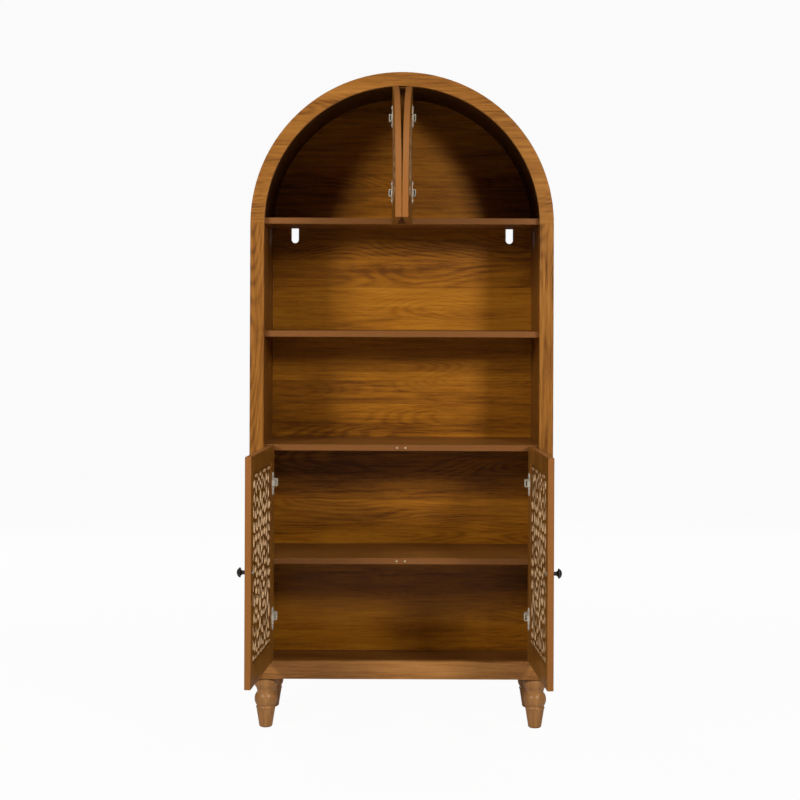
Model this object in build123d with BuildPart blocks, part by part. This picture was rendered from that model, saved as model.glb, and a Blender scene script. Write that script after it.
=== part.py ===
from build123d import *
import os
from math import acos, cos, degrees, pi, radians, sin, sqrt

os.makedirs("parts", exist_ok=True)

# A free-standing arched cabinet on four turned legs.
# X runs across the front, Y from front to back and Z up. The floor is Z = 0, and the origin is
# under the middle of the box that the cabinet fills with its four doors standing open.

# ---------------------------------------------------------------- overall sizes, in mm
WIDTH = 800.0             # across the outer skins
DEPTH = 310.0             # front of the frame to the back of the rear panels
SPRING_Z = 1334.0         # floor to the level where the round arch springs
LEG_H = 134.0             # floor to the underside of the base board

# ---------------------------------------------------------------- stock
FRAME_FACE = 37.0         # face width of the stiles and of the arch ring
FRAME_T = 18.0            # thickness of the front frame
RAIL_H = 47.0             # height of the bottom rail
BOARD_T = 16.0            # shelves, side boards, divider and doors
OUTER_SKIN_T = 5.0
LINING_T = 4.0            # bent lining inside the arch
BACK_T = 5.0
BATTEN_W = 30.0           # width of the battens inside the hollow sides
EDGE_R = 1.5              # rounding of the frame's front corners
BOARD_EDGE_R = 1.0        # rounding of the boards' front corners
DOOR_EASE = 0.8           # easing of the doors' corners
BEND_FIT = 0.2            # play between a bent skin and what stands inside it

# ---------------------------------------------------------------- levels of the upper faces
MIDDLE_SHELF_TOP = 1051.0
CABINET_TOP = 750.0
CABINET_SHELF_TOP = 450.0

# ---------------------------------------------------------------- doors
DOOR_T = 16.0
DOOR_SETBACK = 1.0        # closed door face behind the frame face
BUMPER_ROOM = 3.0         # between a closed door and the board fronts
DOOR_SIDE_GAP = 2.0
DOOR_RAIL_GAP = 1.5
DOOR_TOP_GAP = 1.0
DOOR_MEET_GAP = 3.0       # between two closed leaves
DOOR_TIP_GAP = 0.5        # between the tips of the two open upper leaves
LEFT_LOWER_OPEN = 94.5    # how far each lower leaf stands open at rest
RIGHT_LOWER_OPEN = 93.5

# ---------------------------------------------------------------- lattices let into the doors
LATTICE_T = 9.0
LATTICE_SUNK = 2.0        # below the door frame's inner face
LATTICE_LAP = 5.0         # on the lip round the door frame's opening
LATTICE_FIT = 0.2
HINGE_MARGIN = 45.0       # door edge to lattice, on each side of a leaf
FREE_MARGIN = 30.5
UPPER_MARGIN = 41.5
LOWER_MARGIN = 52.5
ROUND_MARGIN = 42.0
CUTTER_R = 2.0            # rounding of the tips of the openings
LIP_EASE = 1.5            # easing round the opening, on the outer face
RIM_EASE = 0.6            # easing round the lattice, on the inner face

# ---------------------------------------------------------------- concealed hinges
CUP_R = 17.5
CUP_DEPTH = 11.5
CUP_WALL = 1.0
CUP_FIT = 0.1
CUP_EDGE = 22.5           # cup centre to the door's hinge edge
FLANGE_L = 60.0
FLANGE_W = 22.0
FLANGE_T = 1.2
PIVOT_SET = 0.6           # pivot line behind the frame face
PIVOT_U = 9.0             # pivot line in from the hinge edge
ARM_W = 18.0
ARM_WALL = 1.5
ARM_REAR_H = 20.0         # top of the arm's rear part above the board it is on
ARM_FOOT_H = 8.5          # underside of the arm above that board
NOSE_CLEAR = 1.6          # the arm's nose to the inner face of the leaf standing square
NOSE_H = 7.0
NOSE_FRONT = 7.5          # nose behind the frame face
ARM_CLEAR = 4.0           # board fronts to where the arm's full depth begins
ARM_STEP = 36.0           # where it starts to drop to the rear part
ARM_DROP = 16.0           # length of that drop
ARM_END = 82.0
LINK_W = 14.6
LINK_CLEAR = 3.1          # outer face of a link past the inner face of its leaf
LINK_T = 1.0
LINK_IN_ARM = 22.0        # angle past square at which an open leaf's link ends, in its arm
PLATE_FRONT = 40.0
PLATE_END = 76.0
PLATE_T = 2.0
PLATE_RAIL_W = 14.0
WING_L = 46.0
WING_W = 16.0
WING_HOLE_X = 16.0        # wing screws, above and below the arm's centre
WING_SCREW_R = 1.75
WING_SCREW_HEAD_R = 3.4
WING_SCREW_HEAD_H = 1.6
WING_SCREW_L = 6.5
ARM_SCREW_Y = 68.0        # clamping screw behind the frame face
ARM_SCREW_R = 2.5
ARM_SCREW_HEAD_R = 4.0
UPPER_HINGES = (82.0, 280.0)       # above the arch shelf's underside
LOWER_HINGE_FROM_TOP = 99.0
LOWER_HINGE_FROM_BOTTOM = 114.0

# ---------------------------------------------------------------- knobs, screws and pins
KNOB_R = 12.0
KNOB_STEM_R = 5.0
KNOB_OUT = 22.0
KNOB_INSET = 18.0
KNOB_SCREW_R = 2.0
BUMPER_R = 3.0
BUMPER_PLAY = 0.3
BUMPER_X = 11.0
SCREW_FIT = 0.1
DOWEL_R = 4.0
DOWEL_IN_BOARD = 20.0
DOWEL_IN_SIDE = 12.0
DOWEL_SET = 60.0          # dowels in from the front and back edges of a board
BACK_SCREW_R = 1.75
BACK_SCREW_HEAD_R = 3.5
BACK_SCREW_HEAD_H = 1.5
BACK_SCREW_L = 18.0
LEG_BOLT_R = 4.0
LEG_BOLT_IN_LEG = 40.0

# ---------------------------------------------------------------- legs and wall notches
LEG_INSET_X = 43.0
LEG_INSET_Y = 38.0
FOOT_FLAT_R = 12.0
FOOT_R = 17.8
TAPER_R = 24.8
BEAD_R = 26.0
GROOVE_R = 24.2
BALL_R = 30.0
NECK_R = 23.0
COVE_R = 24.6
BELL_R = 30.5
CROWN_R = 29.0
NOTCH_X = 301.0           # centre of each wall notch
NOTCH_W = 20.0
NOTCH_DEEP = 41.0         # below the arch shelf

# ---------------------------------------------------------------- worked out from the above
HALF = WIDTH / 2
CLEAR = HALF - FRAME_FACE                       # half the clear opening
RECESS = DOOR_SETBACK + DOOR_T + BUMPER_ROOM    # board fronts behind the frame face
DOOR_W = CLEAR - DOOR_SIDE_GAP - DOOR_MEET_GAP / 2
LEAF_R = CLEAR - DOOR_SIDE_GAP                  # radius of an upper leaf's round edge
LAP = (BOARD_T - DOOR_MEET_GAP) / 2             # upper leaf over the divider's edge
FACE_TO_PIVOT = DOOR_SETBACK - PIVOT_SET
INNER_TO_PIVOT = FACE_TO_PIVOT + DOOR_T         # a leaf's inner face, past the pivot line
LINK_R = INNER_TO_PIVOT + LINK_CLEAR            # outer face of a link, about the pivot line
NOSE_U = PIVOT_U + INNER_TO_PIVOT + NOSE_CLEAR  # in from the hinge edge of the closed leaf
ARM_FRONT = RECESS + ARM_CLEAR                  # behind the frame face
RAIL_TOP = LEG_H + RAIL_H
BASE_TOP = LEG_H + BOARD_T
LOWER_DOOR_BOTTOM = RAIL_TOP + DOOR_RAIL_GAP
LOWER_DOOR_TOP = CABINET_TOP - DOOR_TOP_GAP
PIVOT_TO_CENTRE = DOOR_MEET_GAP / 2 + PIVOT_U
UPPER_SWING_L = LEAF_R - PIVOT_TO_CENTRE
# The upper leaves swing out until their tips meet in front of the divider.
UPPER_OPEN = degrees(acos(-(PIVOT_TO_CENTRE + FACE_TO_PIVOT - DOOR_TIP_GAP / 2) / UPPER_SWING_L))


def reach(length, angle):
    """How far an open leaf's free end stands in front of the frame."""
    return length * sin(radians(angle)) - INNER_TO_PIVOT * cos(radians(angle)) - PIVOT_SET


FRONT = (max(reach(UPPER_SWING_L, UPPER_OPEN),
             reach(DOOR_W - PIVOT_U, LEFT_LOWER_OPEN)) - DEPTH) / 2
FRAME_BACK = FRONT + FRAME_T
BOARD_FRONT = FRONT + RECESS
BOARD_BACK = FRONT + DEPTH - BACK_T
BACK = FRONT + DEPTH

LEFT, RIGHT = -1, 1


# ---------------------------------------------------------------- helpers
def save(builder, name):
    """Label a finished piece and write it as one STEP file."""
    builder.part.label = name
    export_step(builder.part, f"parts/{name}.step")


def face_plane(y):
    """An upright plane at depth y, seen from the front: its own x and y are X and Z."""
    return Plane(origin=(0, y, 0), x_dir=(1, 0, 0), z_dir=(0, -1, 0))


def slab(x, y, z):
    """Add the box that fills three ranges to the piece being built."""
    with Locations(((x[0] + x[1]) / 2, (y[0] + y[1]) / 2, (z[0] + z[1]) / 2)):
        Box(abs(x[1] - x[0]), abs(y[1] - y[0]), abs(z[1] - z[0]))


def mirrored(side, inner, outer):
    """A range of X between two distances from the middle, on one side."""
    return sorted((side * inner, side * outer))


def half_ring(outer, inner, y, floor):
    """Add the part of a ring about the arch's centre that is above a floor level."""
    with BuildSketch(face_plane(y[0])) as ring:
        with Locations((0, SPRING_Z)):
            Circle(outer)
            if inner:
                Circle(inner, mode=Mode.SUBTRACT)
        with Locations((0, floor)):
            Rectangle(3 * outer, 3 * outer, align=(Align.CENTER, Align.MAX), mode=Mode.SUBTRACT)
    extrude(ring.sketch, amount=y[1] - y[0], dir=(0, 1, 0))


def bore(plane, spots, radius, start, end, mode=Mode.SUBTRACT):
    """Cut or add a cylinder at each spot of a plane, between two distances along its normal."""
    with BuildSketch(plane.offset(start)) as circles:
        with Locations(*spots):
            Circle(radius)
    extrude(circles.sketch, amount=end - start, dir=plane.z_dir, mode=mode)


def round_front(builder, radius):
    """Round the edges that bound the front face of a piece, apart from its end joints."""
    edges = builder.edges().filter_by_position(Axis.Y, FRONT - 0.01, FRONT + 0.01)
    fillet([e for e in edges if e.length > 2 * FRAME_FACE], radius)


# ---------------------------------------------------------------- front frame
with BuildPart() as front_arch:
    half_ring(HALF, CLEAR, (FRONT, FRAME_BACK), SPRING_Z)
    round_front(front_arch, EDGE_R)
save(front_arch, "front_arch")

for side, name in ((LEFT, "left_stile"), (RIGHT, "right_stile")):
    with BuildPart() as stile:
        slab(mirrored(side, CLEAR, HALF), (FRONT, FRAME_BACK), (LEG_H, SPRING_Z))
        round_front(stile, EDGE_R)
    save(stile, name)

with BuildPart() as bottom_rail:
    slab((-CLEAR, CLEAR), (FRONT, FRAME_BACK), (LEG_H, RAIL_TOP))
    round_front(bottom_rail, EDGE_R)
save(bottom_rail, "bottom_rail")

# ---------------------------------------------------------------- shelves and side boards
DOWEL_Y = (BOARD_FRONT + DOWEL_SET, BOARD_BACK - DOWEL_SET)
BOARD_LEVELS = {
    "middle_shelf": MIDDLE_SHELF_TOP - BOARD_T / 2,
    "cabinet_top_board": CABINET_TOP - BOARD_T / 2,
    "cabinet_shelf": CABINET_SHELF_TOP - BOARD_T / 2,
}
SIDE_MID = CLEAR + BOARD_T / 2
WALL_IN = CLEAR + BOARD_T            # hollow of each side, between board and skin
WALL_OUT = HALF - OUTER_SKIN_T
BACK_SCREW_X = (-CLEAR / 2, 0.0, CLEAR / 2)
SIDE_SCREWS = 7
ARCH_SCREWS = 9
SIDE_SCREW_Z = [BASE_TOP + (SPRING_Z - BASE_TOP) * (i + 0.5) / SIDE_SCREWS for i in range(SIDE_SCREWS)]
FORMER_MID = (CLEAR + LINING_T + HALF - OUTER_SKIN_T) / 2
ARCH_SCREW_SPOTS = [
    (FORMER_MID * cos(turn), SPRING_Z + FORMER_MID * sin(turn))
    for turn in [pi * (i + 0.5) / ARCH_SCREWS for i in range(ARCH_SCREWS)]
]
BACK_PLANE = Plane(origin=(0, BACK, 0), x_dir=(1, 0, 0), z_dir=(0, -1, 0))


def pilot_holes(spots):
    """Bore for the shanks of the screws that hold the rear panels."""
    bore(BACK_PLANE, spots, BACK_SCREW_R + SCREW_FIT, 0, BACK_SCREW_L + SCREW_FIT)


LOWER_HINGE_Z = (LOWER_DOOR_BOTTOM + LOWER_HINGE_FROM_BOTTOM, LOWER_DOOR_TOP - LOWER_HINGE_FROM_TOP)
UPPER_HINGE_Z = tuple(SPRING_Z + height for height in UPPER_HINGES)


def hinge_face(x, outward, z):
    """A board's face at the screws of a hinge plate: x runs to the back, y up or down."""
    return Plane(origin=(x, FRONT + PLATE_FRONT + WING_W / 2, z), x_dir=(0, 1, 0), z_dir=(outward, 0, 0))


def hinge_pilots(x, outward, levels):
    """Bore a board for the screws of the hinge plates on it."""
    for z in levels:
        wings = [(0, -WING_HOLE_X), (0, WING_HOLE_X)]
        bore(hinge_face(x, outward, z), wings, WING_SCREW_R + SCREW_FIT, -WING_SCREW_L - SCREW_FIT, 0)


for name, level in BOARD_LEVELS.items():
    with BuildPart() as board:
        slab((-CLEAR, CLEAR), (BOARD_FRONT, BOARD_BACK), (level - BOARD_T / 2, level + BOARD_T / 2))
        front_edges = board.edges().filter_by(Axis.X).group_by(Axis.Y)[0]
        fillet(front_edges, BOARD_EDGE_R)
        for side in (LEFT, RIGHT):
            end = Plane(origin=(side * CLEAR, 0, 0), x_dir=(0, 1, 0), z_dir=(side, 0, 0))
            spots = [(y, side * level) for y in DOWEL_Y]
            bore(end, spots, DOWEL_R + SCREW_FIT, -DOWEL_IN_BOARD - SCREW_FIT, 0)
        pilot_holes([(x, level) for x in BACK_SCREW_X])
    save(board, name)

with BuildPart() as base_board:
    slab((-WALL_OUT, WALL_OUT), (FRAME_BACK, BOARD_BACK), (LEG_H, BASE_TOP))
    leg_spots = [(sx * (HALF - LEG_INSET_X), y)
                 for sx in (LEFT, RIGHT) for y in (FRONT + LEG_INSET_Y, BACK - LEG_INSET_Y)]
    bore(Plane.XY, leg_spots, LEG_BOLT_R + SCREW_FIT, LEG_H, BASE_TOP)
    pilot_holes([(x, LEG_H + BOARD_T / 2) for x in BACK_SCREW_X])
save(base_board, "base_board")

SHELF_MID = SPRING_Z + BOARD_T / 2
ARCH_FLOOR = SPRING_Z + BOARD_T
SHELF_HALF = sqrt((WALL_OUT - BEND_FIT) ** 2 - BOARD_T ** 2)
TOP_DOWELS = [(side * SIDE_MID, y) for side in (LEFT, RIGHT) for y in DOWEL_Y]
with BuildPart() as arch_shelf:
    # Full width behind the frame, on top of both side boards.
    slab((-SHELF_HALF, SHELF_HALF), (BOARD_FRONT, BOARD_BACK), (SPRING_Z, ARCH_FLOOR))
    fillet(arch_shelf.edges().filter_by(Axis.X).group_by(Axis.Y)[0], BOARD_EDGE_R)
    bore(Plane.XY, TOP_DOWELS, DOWEL_R + SCREW_FIT, SPRING_Z, SPRING_Z + DOWEL_IN_SIDE + SCREW_FIT)
save(arch_shelf, "arch_shelf")

for side, word in ((LEFT, "left"), (RIGHT, "right")):
    with BuildPart() as side_board:
        slab(mirrored(side, CLEAR, WALL_IN), (FRAME_BACK, BOARD_BACK), (BASE_TOP, SPRING_Z))
        inner_face = Plane(origin=(side * CLEAR, 0, 0), x_dir=(0, 1, 0), z_dir=(side, 0, 0))
        spots = [(y, side * level) for y in DOWEL_Y for level in BOARD_LEVELS.values()]
        bore(inner_face, spots, DOWEL_R + SCREW_FIT, 0, DOWEL_IN_SIDE + SCREW_FIT)
        bore(Plane.XY, [spot for spot in TOP_DOWELS if spot[0] * side > 0],
             DOWEL_R + SCREW_FIT, SPRING_Z - DOWEL_IN_BOARD - SCREW_FIT, SPRING_Z)
        pilot_holes([(side * SIDE_MID, z) for z in SIDE_SCREW_Z])
        hinge_pilots(side * CLEAR, -side, LOWER_HINGE_Z)
    save(side_board, f"{word}_side_board")

    with BuildPart() as side_skin:
        slab(mirrored(side, WALL_OUT, HALF), (FRAME_BACK, BOARD_BACK), (LEG_H, SPRING_Z))
    save(side_skin, f"{word}_side_skin")

    with BuildPart() as side_battens:
        middle = (FRAME_BACK + BOARD_BACK) / 2
        uprights = ((FRAME_BACK, FRAME_BACK + BATTEN_W),
                    (middle - BATTEN_W / 2, middle + BATTEN_W / 2),
                    (BOARD_BACK - BATTEN_W, BOARD_BACK))
        for y in uprights:
            slab(mirrored(side, WALL_IN, WALL_OUT), y, (BASE_TOP, SPRING_Z))
    save(side_battens, f"{word}_side_battens")

# ---------------------------------------------------------------- arch over the shelf
with BuildPart() as arch_outer_skin:
    half_ring(HALF, HALF - OUTER_SKIN_T, (FRAME_BACK, BOARD_BACK), SPRING_Z)
save(arch_outer_skin, "arch_outer_skin")

with BuildPart() as arch_lining:
    half_ring(CLEAR + LINING_T, CLEAR, (FRAME_BACK, BOARD_BACK), ARCH_FLOOR)
save(arch_lining, "arch_lining")

with BuildPart() as arch_formers:
    middle = (FRAME_BACK + BOARD_BACK) / 2
    for y in ((middle - BOARD_T / 2, middle + BOARD_T / 2), (BOARD_BACK - BOARD_T, BOARD_BACK)):
        half_ring(HALF - OUTER_SKIN_T - BEND_FIT, CLEAR + LINING_T + BEND_FIT, y, ARCH_FLOOR)
    pilot_holes(ARCH_SCREW_SPOTS)
save(arch_formers, "arch_formers")


with BuildPart() as arch_divider:
    with BuildSketch(face_plane(BOARD_FRONT)):
        with Locations((0, SPRING_Z)):
            Circle(CLEAR - BEND_FIT)
        with Locations((0, ARCH_FLOOR)):
            Rectangle(BOARD_T, 2 * CLEAR, align=(Align.CENTER, Align.MIN), mode=Mode.INTERSECT)
    extrude(amount=BOARD_FRONT - BOARD_BACK)
    fillet(arch_divider.edges().filter_by(Axis.Z).group_by(Axis.Y)[0], BOARD_EDGE_R)
    for side in (LEFT, RIGHT):
        hinge_pilots(side * BOARD_T / 2, side, UPPER_HINGE_Z)
save(arch_divider, "arch_divider")

# ---------------------------------------------------------------- rear panels
PANEL_EDGE = 1.0          # the rear panels stop this far inside the outer skins
LOWER_BACK_SPOTS = [(side * SIDE_MID, z) for side in (LEFT, RIGHT) for z in SIDE_SCREW_Z]
LOWER_BACK_SPOTS += [(x, z) for x in BACK_SCREW_X
                     for z in [LEG_H + BOARD_T / 2] + list(BOARD_LEVELS.values())]


def screw_seats(spots):
    """Clear each screw's head and shank from a rear panel."""
    bore(BACK_PLANE, spots, BACK_SCREW_R + SCREW_FIT, 0, BACK_T)
    bore(BACK_PLANE, spots, BACK_SCREW_HEAD_R + SCREW_FIT, 0, BACK_SCREW_HEAD_H)


with BuildPart() as arch_back_panel:
    half_ring(HALF - PANEL_EDGE, 0, (BOARD_BACK, BACK), SHELF_MID)
    screw_seats(ARCH_SCREW_SPOTS)
save(arch_back_panel, "arch_back_panel")

with BuildPart() as lower_back_panel:
    slab((-HALF + PANEL_EDGE, HALF - PANEL_EDGE), (BOARD_BACK, BACK), (LEG_H, SHELF_MID))
    screw_seats(LOWER_BACK_SPOTS)
    # Two notches with round ends, open at the panel's upper edge, take the wall hooks.
    with BuildSketch(face_plane(BOARD_BACK)):
        notch_bottom = SPRING_Z - NOTCH_DEEP + NOTCH_W / 2
        with Locations((-NOTCH_X, notch_bottom), (NOTCH_X, notch_bottom)):
            Circle(NOTCH_W / 2)
            Rectangle(NOTCH_W, SHELF_MID - notch_bottom, align=(Align.CENTER, Align.MIN))
    extrude(amount=BOARD_BACK - BACK, mode=Mode.SUBTRACT)
save(lower_back_panel, "lower_back_panel")

with BuildPart() as back_panel_screws:
    all_spots = LOWER_BACK_SPOTS + ARCH_SCREW_SPOTS
    bore(BACK_PLANE, all_spots, BACK_SCREW_R, 0, BACK_SCREW_L, mode=Mode.ADD)
    bore(BACK_PLANE, all_spots, BACK_SCREW_HEAD_R, 0, BACK_SCREW_HEAD_H, mode=Mode.ADD)
save(back_panel_screws, "back_panel_screws")

with BuildPart() as board_dowels:
    for side in (LEFT, RIGHT):
        end = Plane(origin=(side * CLEAR, 0, 0), x_dir=(0, 1, 0), z_dir=(side, 0, 0))
        spots = [(y, side * level) for y in DOWEL_Y for level in BOARD_LEVELS.values()]
        bore(end, spots, DOWEL_R, -DOWEL_IN_BOARD, DOWEL_IN_SIDE, mode=Mode.ADD)
    bore(Plane.XY, TOP_DOWELS, DOWEL_R, SPRING_Z - DOWEL_IN_BOARD, SPRING_Z + DOWEL_IN_SIDE, mode=Mode.ADD)
save(board_dowels, "board_dowels")

with BuildPart() as door_bumpers:
    # One pad for each lower leaf on the front of the top board and of the shelf.
    pads = [(x, level) for x in (-BUMPER_X, BUMPER_X)
            for level in (BOARD_LEVELS["cabinet_top_board"], BOARD_LEVELS["cabinet_shelf"])]
    bore(face_plane(BOARD_FRONT), pads, BUMPER_R, 0, BUMPER_ROOM - BUMPER_PLAY, mode=Mode.ADD)
    tips = door_bumpers.edges().filter_by(GeomType.CIRCLE).group_by(Axis.Y)[0]
    fillet(tips, BUMPER_R / 3)
save(door_bumpers, "door_bumpers")

# ---------------------------------------------------------------- legs
# Heights up the leg of each feature of the turning.
FOOT_Z = 6.0
TAPER_Z = 50.0
BEAD_Z = 53.0
GROOVE_Z = 58.0
BALL_Z = 77.0
NECK_Z = 94.0
COVE_Z = 102.0
FLARE_Z = 109.0
BELL_Z = 117.0


def turned_leg(x, y):
    """Turn one leg about its own upright axis."""
    with BuildSketch(Plane(origin=(x, y, 0), x_dir=(1, 0, 0), z_dir=(0, -1, 0))) as profile:
        with BuildLine():
            Line((0, 0), (FOOT_FLAT_R, 0))
            TangentArc((FOOT_FLAT_R, 0), (FOOT_R, FOOT_Z), tangent=(1, 0))
            Line((FOOT_R, FOOT_Z), (TAPER_R, TAPER_Z))
            ThreePointArc((TAPER_R, TAPER_Z), (BEAD_R, BEAD_Z), (TAPER_R, 2 * BEAD_Z - TAPER_Z))
            Line((TAPER_R, 2 * BEAD_Z - TAPER_Z), (GROOVE_R, GROOVE_Z))
            ThreePointArc((GROOVE_R, GROOVE_Z), (BALL_R, BALL_Z), (NECK_R, NECK_Z))
            ThreePointArc((NECK_R, NECK_Z), (COVE_R, COVE_Z), (CROWN_R, FLARE_Z))
            ThreePointArc((CROWN_R, FLARE_Z), (BELL_R, BELL_Z), (CROWN_R, LEG_H))
            Line((CROWN_R, LEG_H), (0, LEG_H))
            Line((0, LEG_H), (0, 0))
        make_face()
    revolve(profile.sketch, axis=Axis((x, y, 0), (0, 0, 1)))
    bore(Plane.XY, [(x, y)], LEG_BOLT_R + SCREW_FIT, LEG_H - LEG_BOLT_IN_LEG - SCREW_FIT, LEG_H)


LEG_SPOTS = {
    "front_left_leg": (-HALF + LEG_INSET_X, FRONT + LEG_INSET_Y),
    "front_right_leg": (HALF - LEG_INSET_X, FRONT + LEG_INSET_Y),
    "rear_left_leg": (-HALF + LEG_INSET_X, BACK - LEG_INSET_Y),
    "rear_right_leg": (HALF - LEG_INSET_X, BACK - LEG_INSET_Y),
}
for name, spot in LEG_SPOTS.items():
    with BuildPart() as leg:
        turned_leg(*spot)
    save(leg, name)

with BuildPart() as leg_bolts:
    bore(Plane.XY, list(LEG_SPOTS.values()), LEG_BOLT_R, LEG_H - LEG_BOLT_IN_LEG, BASE_TOP, mode=Mode.ADD)
save(leg_bolts, "leg_bolts")


# ---------------------------------------------------------------- lattice openings
# Each opening is a leaf shape: (across, up, turn, length, width) before the cutter rounds it.
# The upright lattice is measured from its middle line and from its upper edge.
LATTICE_W = 284.0         # field that the openings below are laid out for
LATTICE_H = 472.5
MIDDLE_LINE = 165.0       # in from the lattice's hinge side
PAIRED = (                # these stand on both sides of the middle line
    (63, -11, 0, 46, 5), (25.5, -22.5, 14, 20, 11), (94.5, -29.5, -25, 29, 16),
    (47.5, -31.5, 20, 16, 9), (67, -42.5, 67, 28, 13), (22.5, -44.5, 28, 20, 11),
    (94, -62.5, -80, 28, 13), (51.5, -70.5, 15, 23, 13), (75.5, -78.5, 83, 20, 11),
    (23, -85, 60, 26, 14), (101, -98, 77, 32, 13), (42.5, -101.5, 24, 26, 15), (72, -108, 34, 29, 16),
    (25.5, -131.5, 60, 29, 16), (94.5, -136.5, 46, 35, 20), (55.5, -138.5, 26, 38, 17),
    (24.5, -164.5, 0, 28, 16), (64.5, -164.5, 7, 32, 17), (98.5, -170.5, 70, 31, 18),
    (48, -192, 90, 26, 13), (76.5, -197.5, 0, 25, 14), (22.5, -198.5, 80, 31, 18),
    (103, -205.5, 90, 23, 11), (61.5, -219, 0, 26, 14), (31.5, -231, 74, 29, 15),
    (102.5, -239.5, 90, 25, 12), (73.5, -242, -5, 26, 15), (48.5, -258, 0, 28, 14),
    (76, -274, 7, 29, 17), (33, -278.5, -4, 26, 13), (103, -280.5, 70, 29, 9), (57, -297, 0, 29, 16),
    (18.5, -303.5, 60, 23, 13), (104, -315.5, 83, 29, 9), (81.5, -321.5, -72, 31, 15),
    (43, -323, 0, 37, 20), (58, -347.5, 10, 43, 14), (91, -360, -88, 26, 15), (26, -367, 0, 28, 16),
    (62, -370, 7, 26, 11), (103, -390, 90, 25, 11), (59.5, -395.5, 67, 22, 8), (80, -401.5, 20, 19, 10),
    (34, -408.5, -31, 37, 15), (101, -424.5, 67, 26, 14), (72.5, -432.5, -42, 35, 15),
    (23, -436.5, 60, 25, 12), (48.5, -445.5, 0, 23, 10), (97.5, -457, 0, 22, 12),
    (22.5, -460, 0, 34, 6), (63, -461.5, 0, 28, 5),
)
ON_MIDDLE = (
    (0, -12.5, 0, 25, 8), (0, -34, 0, 20, 11), (0, -67.5, 90, 35, 19), (0, -111.5, 0, 37, 19),
    (0, -145, 90, 28, 14), (0, -181.5, 90, 25, 14), (0, -216, 90, 23, 13), (0, -241, 0, 29, 6),
    (0, -261, 0, 49, 13), (0, -289, 90, 22, 11), (0, -338, 90, 44, 21), (0, -387.5, 90, 34, 19),
    (0, -432.5, 90, 35, 12),
)
HINGE_SIDE = (            # one more column, next to the hinges
    (-132, -11, 0, 47, 5), (-127, -36.5, 90, 26, 15), (-127, -73.5, 90, 28, 16),
    (-136, -105.5, -7, 40, 19), (-141, -137.5, 53, 31, 17), (-132, -163.5, 28, 38, 15),
    (-127, -189, 10, 31, 15), (-130.5, -220.5, 90, 28, 16), (-133.5, -253.5, -7, 43, 16),
    (-137.5, -280, 0, 37, 17), (-136.5, -310.5, 28, 43, 21), (-119.5, -345.5, -83, 40, 21),
    (-140.5, -378.5, 90, 41, 21), (-128.5, -413.5, 45, 34, 17), (-132, -442, 0, 47, 13),
    (-136.5, -461.5, 0, 38, 5),
)
# The quarter lattice is measured from the middle of the arch, for a leaf of this radius.
QUARTER_R = 361.0
QUARTER_PAIRED = (        # these stand on both sides of the line at 45 degrees
    (69.5, 293, -13, 25, 14), (104, 283.5, -26, 28, 15), (142.5, 267, -28, 34, 14),
    (79, 264.5, 74, 28, 16), (112.5, 252, 66, 32, 19), (180.5, 243, -43, 38, 13),
    (72, 234, -18, 32, 14), (149, 233, 58, 34, 19), (111.5, 219.5, -5, 37, 15),
    (181, 208.5, 49, 29, 17), (79.5, 207.5, -81, 19, 10), (144.5, 200, -22, 28, 16),
    (114, 191.5, 90, 20, 11), (86, 180.5, 52, 25, 14), (146.5, 169.5, 66, 26, 15),
    (119, 163.5, 56, 26, 14), (75, 154, -12, 38, 14), (110, 134.5, -38, 25, 14),
    (81.5, 125.5, -56, 26, 15), (76, 97, 46, 22, 12),
)
QUARTER_ON_LINE = (
    (212, 212, -45, 29, 17), (175.5, 175.5, -45, 32, 18), (139.5, 139.5, 45, 23, 13),
    (104.5, 104.5, 90, 22, 12), (67.5, 67.5, -45, 31, 18),
)


def petal(length, width):
    """A pointed leaf lying along x, its tips rounded by the cutter."""
    radius = (length ** 2 + width ** 2) / (4 * width)
    shift = radius - width / 2
    with BuildSketch() as shape:
        with Locations((0, -shift)):
            Circle(radius)
        with Locations((0, shift)):
            Circle(radius, mode=Mode.INTERSECT)
        offset(amount=CUTTER_R)
    return shape.sketch


def petals(spots, along, across, up):
    """The openings at a list of spots, spread by a share across and a share up."""
    fit = min(across, up)
    return [Location((along * x * across, y * up, 0), (0, 0, along * turn)) * petal(length * fit, width * fit)
            for x, y, turn, length, width in spots]


def upright_openings(along, across, up):
    """The arabesque of an upright lattice, about the top of its middle line."""
    flipped = [(-x, y, -turn, length, width) for x, y, turn, length, width in PAIRED]
    return petals(PAIRED + tuple(flipped) + ON_MIDDLE + HINGE_SIDE, along, across, up)


def quarter_openings(along):
    """The arabesque of a quarter lattice, about the middle of the arch."""
    flipped = [(y, x, 90 - turn, length, width) for x, y, turn, length, width in QUARTER_PAIRED]
    share = LEAF_R / QUARTER_R
    return petals(QUARTER_PAIRED + tuple(flipped) + QUARTER_ON_LINE, along, share, share)


def polar(radius, angle):
    """A spot at a radius and an angle."""
    return radius * cos(radians(angle)), radius * sin(radians(angle))


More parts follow.
